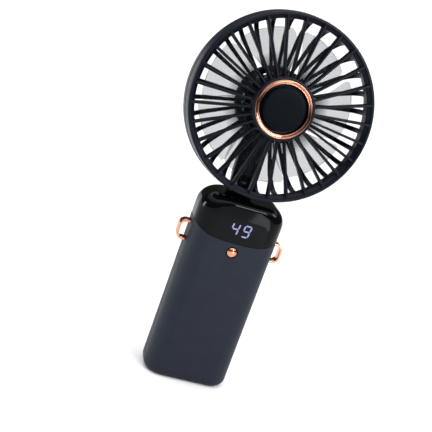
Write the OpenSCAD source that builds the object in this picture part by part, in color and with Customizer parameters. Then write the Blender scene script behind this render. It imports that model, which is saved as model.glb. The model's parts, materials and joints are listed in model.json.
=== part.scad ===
// Handheld electric fan with a tilting head, a digital display and two lanyard loops.
// Units are millimetres. +Z is up along the handle, the front of the fan faces -Y,
// and the origin is the centre of the flat base.

/* [Handle] */
// width of the handle across the front
body_w = 47; // [40:0.5:56]
// depth of the handle, front to back
body_d = 27.4; // [24:0.2:34]
// height of the handle without the fan head
body_h = 107; // [95:1:130]
// radius of the upright corners
corner_r = 10; // [6:0.5:12]
// radius of the rounded shoulders left and right of the top
shoulder_r = 9.5; // [6:0.5:12]
// radius of the soft edge round the base
base_r = 4.2; // [2:0.2:6]
// wall thickness of the handle shells
wall = 2; // [1.6:0.1:3]
// height of the seam under the display at the front centre
seam_z = 84.5; // [78:0.5:90]
// how much the seam rises towards the sides
seam_rise = 5.1; // [0:0.1:8]

/* [Head] */
// diameter of the fan head over its rim
head_d = 96; // [90:1:110]
// height of the middle of the fan head above the base
head_z = 158.9; // [150:0.5:175]
// how far the front of the head stands in front of the handle's middle
head_y = 10.7; // [5:0.1:16]
// how far the head leans back at rest, degrees
head_tilt = 7.1; // [0:0.1:15]
// depth of the head from the front rim to the back plate
head_depth = 28.6; // [24:0.2:34]
// number of ribs in the front grille
front_ribs = 29; // [20:1:40]
// number of ribs in the rear grille
rear_ribs = 30; // [20:1:40]
// number of fan blades
blades = 7; // [3:1:9]
// radius of the blade tips
blade_r = 40; // [34:0.5:43]

/* [Controls] */
// height of the power button above the base
button_z = 79.4; // [70:0.2:82]
// radius of the power button
button_r = 2.6; // [2:0.1:5]
// height of the middle of the display above the base
display_z = 92.5; // [88:0.5:96]

/* [Hinge] */
// height of the tilt hinge above the base
hinge_z = 101.5; // [98:0.5:103]
// how far the tilt hinge lies behind the handle's middle
hinge_y = 8.5; // [6:0.1:10]
// width of the neck
neck_w = 14.6; // [12:0.2:16]

/* [Hidden] */
$fn = 48;
hw = body_w / 2;
hd = body_d / 2;
rim_r = head_d / 2;
gap = 0.08;
eps = 0.01;
// hinge seen from the head's own frame (x right, y up the face, z out of the front)
hg_dy = hinge_y + head_y;
hg_dz = hinge_z - head_z;
hg_z = -(cos(head_tilt) * hg_dy - sin(head_tilt) * hg_dz);
hg_y = sin(head_tilt) * hg_dy + cos(head_tilt) * hg_dz;
back_z = -head_depth;

// ---------- helpers ----------
module head_frame() {
    translate([0, -head_y, head_z]) rotate([-head_tilt, 0, 0]) rotate([90, 0, 0]) children();
}

// rounded rectangle with exact corners
module rrect(w, d, r) {
    union() {
        square([w - 2 * r, d], center = true);
        square([w, d - 2 * r], center = true);
        for (x = [-1, 1], y = [-1, 1]) translate([x * (w / 2 - r), y * (d / 2 - r)]) circle(r);
    }
}

// ring used at a corner of the rounded handle: upright radius rv, edge radius re
module corner_ring(rv, re) {
    rotate_extrude($fn = 32) {
        translate([rv - re, 0]) circle(re, $fn = 16);
        translate([0, -re]) square([rv - re, 2 * re]);
    }
}

// soft pebble of the handle, shrunk by t all round
module pebble(t) {
    re = 3.6 - min(t, 2);
    rs = shoulder_r - 3.6;
    rb = base_r - min(t, 2);
    hull() {
        for (x = [-1, 1], y = [-1, 1]) {
            translate([x * (hw - corner_r), y * (hd - corner_r), t + rb]) corner_ring(corner_r - t, rb);
            for (a = [0, 22.5, 45, 67.5, 90])
                translate([x * (hw - corner_r - rs * (1 - cos(a))), y * (hd - corner_r), body_h - 3.6 - rs + rs * sin(a)])
                    corner_ring(corner_r - t, re);
        }
    }
}

// plain inner room of the shells
module inner_room() {
    intersection() {
        translate([0, 0, wall + 0.2]) linear_extrude(body_h - 2 * wall - 0.2)
            rrect(body_w - 2 * wall, body_d - 2 * wall, corner_r - wall);
        translate([0, hd, 0]) rotate([90, 0, 0]) linear_extrude(body_d)
            translate([0, body_h / 2]) rrect(body_w - 2 * wall, body_h - 2 * wall, shoulder_r - wall);
    }
}

// everything below the seam; the seam is a shallow U on the front and level behind
function seam_at(x) = seam_z + seam_rise * pow(abs(x) / hw, 3);
module below_seam(lower) {
    steps = 18;
    rotate([90, 0, 0]) linear_extrude(hd + 5)
        polygon(concat([[-hw - 4, -5]], [[hw + 4, -5]], [[hw + 4, seam_at(hw) - lower]],
            [for (i = [0 : steps]) let (x = hw * (1 - 2 * i / steps)) [x, seam_at(x) - lower]],
            [[-hw - 4, seam_at(hw) - lower]]));
    translate([-hw - 4, -eps, -5]) cube([2 * hw + 8, hd + 5, seam_z + seam_rise - lower + 5]);
}

module screw(d, len, head, hh) {
    difference() {
        union() {
            cylinder(d = d, h = len + hh / 2, $fn = 24);
            translate([0, 0, len + 0.02]) cylinder(d = head, h = hh - 0.02, $fn = 24);
        }
        translate([0, 0, len + hh - 0.6]) {
            cube([head * 0.62, 0.5, 1.3], center = true);
            cube([0.5, head * 0.62, 1.3], center = true);
        }
    }
}

// ---------- handle ----------
loop_z = 81.2;

module loop_slots() {
    for (x = [-1, 1], z = [loop_z + 5.05, loop_z - 5.05])
        translate([x * (hw - 1), 0, z]) cube([4.2, 5.7, 1.6], center = true);
}

module boss_posts(y0, y1, r) {
    for (p = [[-17.6, 79.5], [17.6, 79.5], [-17.6, 5.6], [17.6, 5.6]])
        translate([p[0], y0, p[1]]) rotate([-90, 0, 0]) cylinder(r = r, h = y1 - y0, $fn = 24);
}

module front_shell() color([0.16, 0.17, 0.21]) difference() {
    union() {
        intersection() {
            difference() { pebble(0); inner_room(); }
            translate([-hw - 2, -hd - 2, -1]) cube([body_w + 4, hd + 2 - gap, body_h + 2]);
            below_seam(gap);
        }
        intersection() { boss_posts(-hd + 1.2, -gap, 2.6); pebble(0.6); }
        // guide collar behind the button hole
        translate([0, -hd + 1.4, button_z]) rotate([-90, 0, 0]) cylinder(r = button_r + 1.6, h = 2, $fn = 32);
    }
    boss_posts(-hd + 3, 1, 0.9);
    translate([0, -hd - 2, button_z]) rotate([-90, 0, 0]) cylinder(r = button_r + 0.3, h = 8, $fn = 32);
    translate([0, -hd - 2, button_z]) rotate([-90, 0, 0]) cylinder(r1 = button_r + 1.8, r2 = button_r + 0.3, h = 3, $fn = 48);
    loop_slots();
    usb_cut();
}

module rear_shell() color([0.15, 0.16, 0.2]) difference() {
    union() {
        intersection() {
            difference() { pebble(0); inner_room(); }
            translate([-hw - 2, gap, -1]) cube([body_w + 4, hd + 2, body_h + 2]);
            below_seam(gap);
        }
        intersection() { boss_posts(gap, hd - 1, 2.6); pebble(0.6); }
    }
    // screw clearance and counterbores, opened on the back
    boss_posts(-1, hd + 2, 1.15);
    boss_posts(hd - 3.4, hd + 2, 2.05);
    loop_slots();
    usb_cut();
}

module top_cap() color([0.03, 0.035, 0.04]) difference() {
    intersection() {
        difference() { pebble(0); inner_room(); }
        translate([-hw - 2, -hd - 2, 0]) cube([body_w + 4, body_d + 4, body_h + 2]);
        difference() {
            translate([-hw - 2, -hd - 2, seam_z - 4]) cube([body_w + 4, body_d + 4, 40]);
            below_seam(-gap);
        }
    }
    digit_bars();
    // slot in which the neck swings, open at the top and at the back
    translate([-neck_w / 2 - 0.7, 2.0, 92.6]) cube([neck_w + 1.4, 20, 20]);
}

module power_button() color([0.85, 0.52, 0.36]) translate([0, -hd, button_z]) rotate([90, 0, 0]) {
    rotate_extrude($fn = 48) {
        translate([0, -2.0]) square([button_r, 2.2]);
        intersection() {
            translate([0, -4.9]) circle(5.7, $fn = 96);
            translate([0, 0]) square([button_r, 3]);
        }
    }
    translate([0, 0, -3.0]) cylinder(r = button_r - 0.7, h = 1.2, $fn = 32);
}

module button_plunger() color([0.8, 0.8, 0.78]) translate([0, -hd + 3.0, button_z]) rotate([-90, 0, 0])
    cylinder(r = 1.4, h = 0.8, $fn = 32);

module tact_switch() color([0.75, 0.76, 0.78]) {
    translate([-2.2, -hd + 4.55, button_z - 2.2]) cube([4.4, 1.05, 4.4]);
    translate([0, -hd + 4.3, button_z]) rotate([-90, 0, 0]) cylinder(r = 0.9, h = 0.5, $fn = 24);
}

module main_board() color([0.05, 0.28, 0.16]) difference() {
    union() {
        translate([-19, -hd + 5.6, 75.2]) cube([38, 1.2, 24]);
        for (p = [[-12, 84, 5, 4], [10, 80, 6, 5], [-11, 93, 4, 3], [11.6, 90, 3, 3], [4, 78, 3, 2]])
            translate([p[0], -hd + 6.79, p[1]]) cube([p[2], 1.1, p[3]]);
    }
    for (x = [-17.6, 17.6]) translate([x, -hd + 5, 79.5]) rotate([-90, 0, 0]) cylinder(r = 2.75, h = 4, $fn = 24);
}

module display_module() color([0.06, 0.06, 0.07]) difference() {
    translate([-9, -hd + wall + 0.35, display_z - 5.4]) cube([18, 3.2, 10.8]);
    translate([-7.4, -hd + wall, display_z - 4.4]) cube([14.8, 0.8, 8.8]);
}

// one lit seven segment figure, on = list of lit bars a to g
module figure(on) {
    w = 4.2; h = 7; s = 0.62; g = 0.22;
    slant = 0.12;
    multmatrix([[1, 0, slant, 0], [0, 1, 0, 0], [0, 0, 1, 0]]) {
        if (on[0]) translate([-w / 2 + g + s, 0, h / 2 - s]) cube([w - 2 * g - 2 * s, 0.35, s]);
        if (on[1]) translate([w / 2 - s, 0, g]) cube([s, 0.35, h / 2 - 2 * g]);
        if (on[2]) translate([w / 2 - s, 0, -h / 2 + g]) cube([s, 0.35, h / 2 - 2 * g]);
        if (on[3]) translate([-w / 2 + g + s, 0, -h / 2]) cube([w - 2 * g - 2 * s, 0.35, s]);
        if (on[4]) translate([-w / 2, 0, -h / 2 + g]) cube([s, 0.35, h / 2 - 2 * g]);
        if (on[5]) translate([-w / 2, 0, g]) cube([s, 0.35, h / 2 - 2 * g]);
        if (on[6]) translate([-w / 2 + g + s, 0, -s / 2]) cube([w - 2 * g - 2 * s, 0.35, s]);
    }
}

// lit figures, set flush in the outer face of the display window
module digit_bars() {
    translate([-2.75, -hd - 0.02, display_z]) figure([false, true, true, false, false, true, true]);
    translate([3.55, -hd - 0.02, display_z]) figure([true, true, true, true, false, true, true]);
}
module display_digits() color([0.8, 0.85, 1]) digit_bars();

module battery_cells() color([0.2, 0.45, 0.65]) for (x = [-9.6, 9.6]) translate([x, 0.6, 8.6]) {
    cylinder(r = 9.2, h = 64, $fn = 64);
    translate([0, 0, 64 - eps]) cylinder(r = 3, h = 1, $fn = 32);
}

module cell_tabs() color([0.8, 0.8, 0.78]) {
    translate([-14, -2.4, 73.62]) cube([28, 6, 0.2]);
    translate([-14, -2.4, 8.38]) cube([28, 6, 0.2]);
}

module cell_cradle() color([0.1, 0.1, 0.1]) for (z = [20, 56]) difference() {
    intersection() {
        translate([-20.6, 0.6, z]) cube([41.2, 20, 6]);
        linear_extrude(body_h) rrect(body_w - 2 * wall - 0.2, body_d - 2 * wall - 0.2, corner_r - wall - 0.1);
    }
    for (x = [-9.6, 9.6]) translate([x, 0.6, z - 1]) cylinder(r = 9.3, h = 8, $fn = 64);
}

module charge_board() color([0.05, 0.28, 0.16]) difference() {
    union() {
        translate([-13, -hd + 4, 6.6]) cube([26, 17.6, 1]);
        translate([-11, 4.2, 5.61]) cube([5, 4, 1]);
        translate([6, -8, 5.41]) cube([4, 4, 1.2]);
    }
}

module usb_cut() translate([0, 0, 0]) linear_extrude(5) rrect(9.6, 3.9, 1.9);

module usb_port() color([0.78, 0.79, 0.8]) {
    difference() {
        translate([0, 0, 0.5]) linear_extrude(6.1) rrect(9.0, 3.3, 1.6);
        translate([0, 0, 0]) linear_extrude(6) rrect(8.4, 2.7, 1.3);
    }
    translate([-3.4, -0.4, 1.4]) cube([6.8, 0.8, 4.7]);
}

module wire_path(pts, r) {
    for (i = [0 : len(pts) - 2]) {
        v = pts[i + 1] - pts[i];
        l = norm(v);
        translate(pts[i]) rotate([0, acos(v[2] / l), atan2(v[1], v[0])]) cylinder(r = r, h = l, $fn = 16);
    }
    for (p = pts) translate(p) sphere(r = r * 1.04, $fn = 18);
}

module cell_wires() color([0.75, 0.08, 0.06]) {
    wire_path([[-5, 4.6, 74.6], [-5, 5.4, 78], [-6, -4.0, 81], [-6, -5.8, 83]], 0.6);
    wire_path([[5, 4.6, 74.6], [5, 5.4, 78], [7, -4.0, 80], [7, -5.8, 84]], 0.6);
}

// copper band loop on the side: a flat D with its two legs held in the shells
loop_h = 5.7;
loop_out = 6.2;
loop_t = 1.3;
module loop_outline(t) hull() {
    translate([-3.2, -loop_h + t]) square([1, 2 * (loop_h - t)]);
    for (z = [-1, 1]) translate([loop_out - 4.0, z * (loop_h - 4.0)]) circle(r = 4.0 - t, $fn = 48);
}
module loop_body() rotate([90, 0, 0]) translate([0, 0, -2.7]) linear_extrude(5.4) intersection() {
    difference() {
        loop_outline(0);
        loop_outline(loop_t);
    }
    translate([-2.0, -8]) square([12, 16]);
}
module lanyard_loop_right() color([0.85, 0.52, 0.36]) translate([hw - 0.35, 0, loop_z]) loop_body();
module lanyard_loop_left() color([0.85, 0.52, 0.36]) mirror([1, 0, 0]) translate([hw - 0.35, 0, loop_z]) loop_body();

module case_screws() color([0.3, 0.3, 0.32])
    for (p = [[-17.6, 79.5], [17.6, 79.5], [-17.6, 5.6], [17.6, 5.6]])
        translate([p[0], -5.2, p[1]]) rotate([-90, 0, 0]) screw(1.8, hd - 3.4 + 5.2, 3.6, 1.3);

// ---------- hinge ----------
module hinge_bracket() color([0.55, 0.56, 0.58]) difference() {
    union() {
        translate([-11.4, 0.6, 90.6]) cube([22.8, hd - wall - 0.75, 12.6]);
        translate([0, hinge_y, hinge_z]) rotate([0, 90, 0]) cylinder(r = 2.9, h = 22.8, center = true, $fn = 48);
        translate([-15.6, hd - wall - 5.0, 90.6]) cube([31.2, 4.0, 4]);
    }
    translate([-neck_w / 2 - 0.7, 2.0, 92.6]) cube([neck_w + 1.4, 20, 20]);
    translate([0, hinge_y, hinge_z]) rotate([0, 90, 0]) cylinder(r = 1.5, h = 30, center = true, $fn = 48);
    for (x = [-14, 14]) translate([x, hd - wall - 6, 92.6]) rotate([-90, 0, 0]) cylinder(r = 0.8, h = 6, $fn = 24);
    // lanyard wires pass under the hinge through this hole
    translate([0, 4.6, 89]) cylinder(r = 1.6, h = 6, $fn = 24);
}

module hinge_shaft() color([0.75, 0.76, 0.78]) translate([0, hinge_y, hinge_z]) rotate([0, 90, 0]) {
    cylinder(r = 1.5, h = 22.8, center = true, $fn = 48);
}

module friction_washers() color([0.8, 0.7, 0.4]) for (x = [-1, 1])
    translate([x * (neck_w / 2 + 0.37), hinge_y, hinge_z]) rotate([0, 90, 0]) difference() {
        cylinder(r = 3.6, h = 0.6, center = true, $fn = 48);
        cylinder(r = 1.56, h = 2, center = true, $fn = 48);
    }

module bracket_screws() color([0.3, 0.3, 0.32]) for (x = [-14, 14])
    translate([x, hd - wall - 1.0 - 3.6, 92.6]) rotate([-90, 0, 0]) cylinder(r = 0.8, h = 3.6, $fn = 24);

// ---------- head: built facing +Z, then set upright by head_frame ----------
module arm_side(z0, z1) {
    // side outline of the arm in (z, y), from the hub boss down to the hinge
    polygon([[z0, 9], [z1, 9], [z1, -44], [hg_z - 4.9, hg_y + 1.0], [hg_z - 3.6, hg_y], [hg_z + 4.2, hg_y + 2.6], [z0, -45.5]]);
}

module neck_arm() color([0.05, 0.055, 0.065]) head_frame() difference() {
    union() {
        translate([-neck_w / 2, 0, 0]) rotate([90, 0, 90]) rotate([0, 0, 0])
            linear_extrude(neck_w) translate([0, 0]) mirror([0, 0]) arm_plan();
        translate([0, 0, back_z - 3.4]) cylinder(r = 11.5, h = 3.4, $fn = 64);
        translate([0, hg_y, hg_z]) rotate([0, 90, 0]) cylinder(r = 5, h = neck_w, center = true, $fn = 48);
    }
    translate([0, hg_y, hg_z]) rotate([0, 90, 0]) cylinder(r = 1.55, h = 40, center = true, $fn = 48);
    // wire channel under the cover
    translate([-2, -46, back_z - 3.5]) cube([4, 44, 2.0]);
    translate([0, -3, back_z - 5]) cylinder(r = 2, h = 8, $fn = 24);
    for (a = [45, 135, 225, 315]) rotate([0, 0, a]) translate([8.6, 0, back_z - 5]) cylinder(r = 1.0, h = 8, $fn = 24);
    for (a = [45, 135, 225, 315]) rotate([0, 0, a]) translate([8.6, 0, back_z - 5]) cylinder(r = 1.9, h = 2.8, $fn = 24);
}
// outline with first axis up the face and second axis out of the front
module arm_plan() polygon([[8, back_z], [8, back_z - 3.4], [-44, back_z - 3.4], [hg_y + 2.2, hg_z - 4.4],
    [hg_y, hg_z - 3.0], [hg_y, hg_z + 3.0], [hg_y + 2.2, hg_z + 4.4], [-46, back_z]]);

module neck_cover() color([0.06, 0.065, 0.075]) head_frame() difference() {
    union() {
        translate([0, 0, back_z - 5.2]) cylinder(r = 12.2, h = 1.72, $fn = 64);
        translate([-neck_w / 2, -44, back_z - 5.2]) cube([neck_w, 44, 1.72]);
        translate([0, 0, back_z - 5.2]) rotate_extrude($fn = 64) translate([12.2, 0.86]) circle(0.6, $fn = 24);
    }
}

module neck_screws() color([0.3, 0.3, 0.32]) head_frame()
    for (a = [45, 135, 225, 315]) rotate([0, 0, a]) translate([8.6, 0, back_z + 1.7]) rotate([180, 0, 0]) screw(1.6, 4.0, 3.4, 1.0);

// basket profile behind the rim, in (radius, z)
bas_r0 = 34; bas_z0 = -13; bas_a = rim_r + 0.4 - bas_r0; bas_b = head_depth + bas_z0;
module basket_profile() {
    n = 8;
    t = 2.1;
    polygon(concat(
        [[19, back_z]],
        [for (i = [0 : n]) let (q = 90 * i / n) [bas_r0 + bas_a * sin(q), bas_z0 - bas_b * cos(q)]],
        [for (i = [n : -1 : 0]) let (q = 90 * i / n) [bas_r0 + (bas_a - t) * sin(q), bas_z0 - (bas_b - t) * cos(q)]],
        [[19, back_z + t]]));
}

module rear_grille() color([0.07, 0.08, 0.09]) head_frame() difference() {
    union() {
        // ribs of the basket
        intersection() {
            rotate_extrude($fn = 96) basket_profile();
            for (i = [0 : rear_ribs - 1]) rotate([0, 0, i * 360 / rear_ribs])
                translate([0, 0, back_z - 1]) linear_extrude(head_depth) polygon([[17, -0.75], [17, 0.75], [50, 1.35], [50, -1.35]]);
        }
        // closed band behind the rim
        translate([0, 0, bas_z0 - 0.4]) difference() {
            cylinder(r = rim_r + 0.6, h = 5.6, $fn = 128);
            translate([0, 0, -1]) cylinder(r = rim_r - 1.6, h = 8, $fn = 128);
        }
        // back plate that carries the motor
        translate([0, 0, back_z]) cylinder(r = 19.5, h = 1.8, $fn = 96);
        translate([0, 0, back_z + 1.6]) difference() {
            cylinder(r = 19.2, h = 2.2, $fn = 96);
            translate([0, 0, -1]) cylinder(r = 17.8, h = 5, $fn = 96);
        }
        translate([0, 0, back_z + 1.7]) cylinder(r = 6.6, h = 1.28, $fn = 48);
    }
    for (a = [90, 210, 330]) rotate([0, 0, a]) translate([5.2, 0, back_z + 1.0]) cylinder(r = 0.6, h = 4, $fn = 24);
    // vents in the back plate outside the neck boss
    for (i = [0 : 23]) rotate([0, 0, i * 15]) translate([14.5, 0, back_z + 1]) cube([2.4, 1.5, 6], center = true);
    translate([0, -3, back_z - 1]) cylinder(r = 1.4, h = 3.2, $fn = 24);
    for (a = [45, 135, 225, 315]) rotate([0, 0, a]) translate([8.6, 0, back_z - 1]) cylinder(r = 0.8, h = 4, $fn = 24);
}

module front_rib() intersection() {
    translate([0, 0, -7]) linear_extrude(10) polygon([[15.6, -0.55], [15.6, 0.55], [46.6, 0.85], [46.6, -0.85]]);
    translate([0, 1, 0]) rotate([90, 0, 0]) linear_extrude(2)
        polygon([[15.4, 0.9], [15.4, -3.0], [30, -4.4], [46.7, -4.6], [46.7, -0.35], [44.6, -0.3]]);
}

module front_grille() color([0.1, 0.11, 0.14]) head_frame() difference() {
    union() {
        // rim
        rotate_extrude($fn = 128) polygon([[44.5, -2.7], [44.6, -2.3], [46.3, -0.95], [46.5, -0.35], [46.8, 0], [rim_r - 0.5, 0], [rim_r - 0.05, -0.45], [rim_r + 0.1, -1.5],
            [rim_r + 0.5, -7.5], [rim_r - 1.7, -7.5], [rim_r - 1.9, -4.4], [45.0, -3.6]]);
        rotate([0, 0, 90 + 3.0]) for (i = [0 : front_ribs - 1]) rotate([0, 0, i * 360 / front_ribs]) front_rib();
        // hub collar with its seat for the ring and cap
        difference() {
            translate([0, 0, -1.4]) cylinder(r = 16.2, h = 3.3, $fn = 96);
            translate([0, 0, 0]) cylinder(r = 14.9, h = 4, $fn = 96);
        }
        translate([0, 0, -1.5]) cylinder(r = 16.2, h = 1.4, $fn = 96);
        // lugs round the back edge of the vent skirt
        for (i = [0 : 23]) rotate([0, 0, i * 15 + 5.6]) translate([16.2, -1.15, -8.4]) cube([2.3, 2.3, 1.6]);
        // vent skirt behind the collar
        difference() {
            translate([0, 0, -8.4]) cylinder(r = 16.4, h = 7.2, $fn = 96);
            translate([0, 0, -9]) cylinder(r = 15.2, h = 7.6, $fn = 96);
        }
    }
    for (i = [0 : 11]) rotate([0, 0, i * 15 + 5.6]) translate([0, 0, -4.5]) cube([40, 1.9, 3.6], center = true);
}

module hub_ring() color([0.85, 0.55, 0.4]) head_frame() rotate_extrude($fn = 96) {
    translate([12.2, 0.0]) square([2.6, 1.8]);
    translate([12.85, 1.8]) circle(0.65, $fn = 32);
    translate([14.15, 1.8]) circle(0.65, $fn = 32);
}

module hub_cap() color([0.09, 0.1, 0.13]) head_frame() rotate_extrude($fn = 96) {
    square([11.1, 2.7]);
    square([10.3, 3.5]);
    translate([10.3, 2.7]) circle(0.8, $fn = 32);
}

// ---------- motor ----------
module bearing_tube() color([0.75, 0.65, 0.35]) head_frame() difference() {
    union() {
        translate([0, 0, back_z + 3.0]) cylinder(r = 6.6, h = 1.0, $fn = 48);
        translate([0, 0, back_z + 3.0]) cylinder(r = 3.4, h = 12.0, $fn = 48);
    }
    translate([0, 0, back_z + 2]) cylinder(r = 2.6, h = 14, $fn = 48);
    for (a = [90, 210, 330]) rotate([0, 0, a]) translate([5.2, 0, back_z + 2]) cylinder(r = 0.6, h = 4, $fn = 24);
}

module bearings() color([0.8, 0.8, 0.82]) head_frame() for (z = [back_z + 3.6, back_z + 12.4])
    translate([0, 0, z]) difference() {
        cylinder(r = 2.6, h = 2.4, $fn = 48);
        translate([0, 0, -1]) cylinder(r = 1.04, h = 5, $fn = 48);
    }

module motor_board() color([0.05, 0.28, 0.16]) head_frame() difference() {
    union() {
        translate([0, 0, back_z + 4.0]) cylinder(r = 12.4, h = 0.8, $fn = 64);
        translate([6, 4, back_z + 3.01]) cube([4, 3, 1]);
        translate([-9, 4.6, back_z + 3.01]) cube([2.4, 2, 1]);
    }
    translate([0, 0, back_z + 3]) cylinder(r = 3.4, h = 3, $fn = 48);
    for (a = [90, 210, 330]) rotate([0, 0, a]) translate([5.2, 0, back_z + 2]) cylinder(r = 1.6, h = 4, $fn = 24);
}

module stator_core() color([0.5, 0.5, 0.52]) head_frame() difference() {
    translate([0, 0, back_z + 6.6]) linear_extrude(6.4) union() {
        circle(r = 5.2, $fn = 48);
        for (a = [0 : 40 : 320]) rotate([0, 0, a]) {
            translate([4, -0.8]) square([5.4, 1.6]);
            translate([9.2, -2.4]) square([1.5, 4.8]);
        }
    }
    translate([0, 0, back_z + 6]) cylinder(r = 3.4, h = 9, $fn = 48);
}

module stator_windings() color([0.75, 0.4, 0.18]) head_frame() for (a = [0 : 40 : 320]) rotate([0, 0, a])
    translate([5.6, 0, back_z + 6.0]) difference() {
        translate([0, -1.55, 0]) cube([3.2, 3.1, 7.6]);
        translate([-1, -0.82, 0.58]) cube([6, 1.64, 6.44]);
    }

module motor_screws() color([0.3, 0.3, 0.32]) head_frame() for (a = [90, 210, 330]) rotate([0, 0, a])
    translate([5.2, 0, back_z + 1.4 + 2.7]) rotate([0, 0, 0]) translate([0, 0, -2.7]) screw(1.1, 2.7, 2.2, 0.6);

module motor_wires() color([0.1, 0.1, 0.1]) head_frame()
    for (x = [-0.6, 0.6]) wire_path([[x, -3, back_z + 1.2], [x, -3, back_z - 2.4], [x, -10, back_z - 2.6], [x, -40, back_z - 2.6]], 0.45);

// cambered, twisted blade drawn as a skin over sections at growing radii
module fan_blade() {
    n = 8;
    m = 7;
    function chord_half(t) = 22.5 + 2.6 * sin(180 * t * 0.8);
    function zmid(t) = -15.9;
    function pitch(t) = 5.4 - 1.6 * t;
    pts = [for (i = [0 : m]) let (t = i / m, r = 15.2 + (blade_r - 15.2) * t)
        for (k = [0 : 2 * n - 1]) let (top = k < n, u = top ? k / (n - 1) : (2 * n - 1 - k) / (n - 1),
            a = chord_half(t) * (2 * u - 1) + 13 * t,
            zc = zmid(t) + pitch(t) * (2 * u - 1) + 1.2 * (1 - pow(2 * u - 1, 2)),
            th = 0.35 + 0.45 * (1 - pow(2 * u - 1, 2)) * (1 - 0.4 * t))
        [r * cos(a), r * sin(a), zc + (top ? th / 2 : -th / 2)]];
    w = 2 * n;
    faces = concat(
        [for (k = [0 : n - 2]) [k, w - 1 - k, k + 1]],
        [for (k = [0 : n - 2]) [k + 1, w - 1 - k, w - 2 - k]],
        [for (k = [0 : n - 2]) [m * w + k, m * w + k + 1, m * w + w - 1 - k]],
        [for (k = [0 : n - 2]) [m * w + k + 1, m * w + w - 2 - k, m * w + w - 1 - k]],
        [for (i = [0 : m - 1], k = [0 : w - 1]) [i * w + k, i * w + (k + 1) % w, (i + 1) * w + k]],
        [for (i = [0 : m - 1], k = [0 : w - 1]) [i * w + (k + 1) % w, (i + 1) * w + (k + 1) % w, (i + 1) * w + k]]);
    polyhedron(pts, faces, convexity = 4);
}

module impeller() color([0.45, 0.47, 0.5, 0.6]) head_frame() {
    difference() {
        translate([0, 0, -24]) cylinder(r = 15.6, h = 14.4, $fn = 64);
        translate([0, 0, -25]) cylinder(r = 14.4, h = 14, $fn = 64);
        translate([0, 0, -12]) cylinder(r = 1.0, h = 6, $fn = 32);
    }
    for (i = [0 : blades - 1]) rotate([0, 0, i * 360 / blades]) fan_blade();
}

module rotor_cup() color([0.65, 0.66, 0.68]) head_frame() difference() {
    translate([0, 0, -23]) cylinder(r = 13.8, h = 11.8, $fn = 64);
    translate([0, 0, -24]) cylinder(r = 12.9, h = 12, $fn = 64);
    translate([0, 0, -13]) cylinder(r = 1.0, h = 4, $fn = 32);
}

module magnet_ring() color([0.25, 0.25, 0.27]) head_frame() difference() {
    translate([0, 0, -22.6]) cylinder(r = 12.9, h = 9.4, $fn = 64);
    translate([0, 0, -24]) cylinder(r = 11.5, h = 12, $fn = 64);
}

module motor_shaft() color([0.8, 0.8, 0.82]) head_frame() translate([0, 0, -25.2]) cylinder(r = 1.0, h = 15.6, $fn = 48);

front_shell();
rear_shell();
top_cap();
power_button();
button_plunger();
tact_switch();
main_board();
display_module();
display_digits();
battery_cells();
cell_tabs();
cell_cradle();
charge_board();
usb_port();
cell_wires();
lanyard_loop_left();
lanyard_loop_right();
case_screws();
hinge_bracket();
hinge_shaft();
friction_washers();
bracket_screws();
neck_arm();
neck_cover();
neck_screws();
rear_grille();
front_grille();
hub_ring();
hub_cap();
bearing_tube();
bearings();
motor_board();
stator_core();
stator_windings();
motor_screws();
motor_wires();
impeller();
rotor_cup();
magnet_ring();
motor_shaft();
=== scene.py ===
import bpy, bmesh, math, json
from mathutils import Vector, Matrix
from mathutils.bvhtree import BVHTree


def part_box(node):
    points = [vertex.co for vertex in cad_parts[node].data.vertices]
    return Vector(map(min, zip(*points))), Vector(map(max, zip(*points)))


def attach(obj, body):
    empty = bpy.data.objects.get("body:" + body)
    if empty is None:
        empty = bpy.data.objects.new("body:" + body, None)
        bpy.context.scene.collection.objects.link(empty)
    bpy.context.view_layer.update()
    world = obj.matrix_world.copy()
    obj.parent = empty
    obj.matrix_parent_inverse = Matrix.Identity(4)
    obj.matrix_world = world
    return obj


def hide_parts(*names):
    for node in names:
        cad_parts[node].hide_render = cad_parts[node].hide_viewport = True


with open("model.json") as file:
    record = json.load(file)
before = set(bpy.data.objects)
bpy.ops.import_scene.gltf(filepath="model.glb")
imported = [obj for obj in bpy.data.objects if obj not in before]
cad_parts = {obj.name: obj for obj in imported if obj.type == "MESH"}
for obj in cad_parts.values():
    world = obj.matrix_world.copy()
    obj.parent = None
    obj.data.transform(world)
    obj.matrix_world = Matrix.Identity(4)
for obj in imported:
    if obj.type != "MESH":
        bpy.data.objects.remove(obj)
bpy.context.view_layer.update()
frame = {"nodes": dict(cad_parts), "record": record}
MM = 0.001
pi = math.pi


def V(*a):
    return Vector(a)


# ---------------------------------------------------------------- dimensions (mm, as in the CAD)
lo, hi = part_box("front_shell")
BODY_W = (hi.x - lo.x) / MM
lo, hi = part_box("top_cap")
BODY_D = (hi.y - lo.y) / MM
BODY_H = hi.z / MM
HW, HD = BODY_W / 2, BODY_D / 2
CORNER, EDGE, SHOULDER, BASE_R = 10.0, 3.6, 9.5, 4.2
RS = SHOULDER - EDGE
SEAM_Z, SEAM_RISE = 84.5, 5.1
WALL = 2.0
HEAD_Y, HEAD_Z, TILT, DEPTH = 10.7, 158.9, math.radians(7.1), 28.6
RIM_R = 48.0
BACK = -DEPTH
BUTTON_Z, BUTTON_R = 79.4, 2.6
DISPLAY_Z = 92.5
HINGE_Y, HINGE_Z, NECK_W = 8.5, 101.5, 14.6
LOOP_Z = 81.2
FRONT_RIBS, REAR_RIBS, BLADES, BLADE_R = 29, 30, 7, 40.0
dy, dz = HINGE_Y + HEAD_Y, HINGE_Z - HEAD_Z
HG_Z = -(math.cos(TILT) * dy - math.sin(TILT) * dz)
HG_Y = math.sin(TILT) * dy + math.cos(TILT) * dz
HEAD = Matrix.Translation((0, -HEAD_Y, HEAD_Z)) @ Matrix.Rotation(-TILT, 4, "X") @ Matrix.Rotation(pi / 2, 4, "X")


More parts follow.
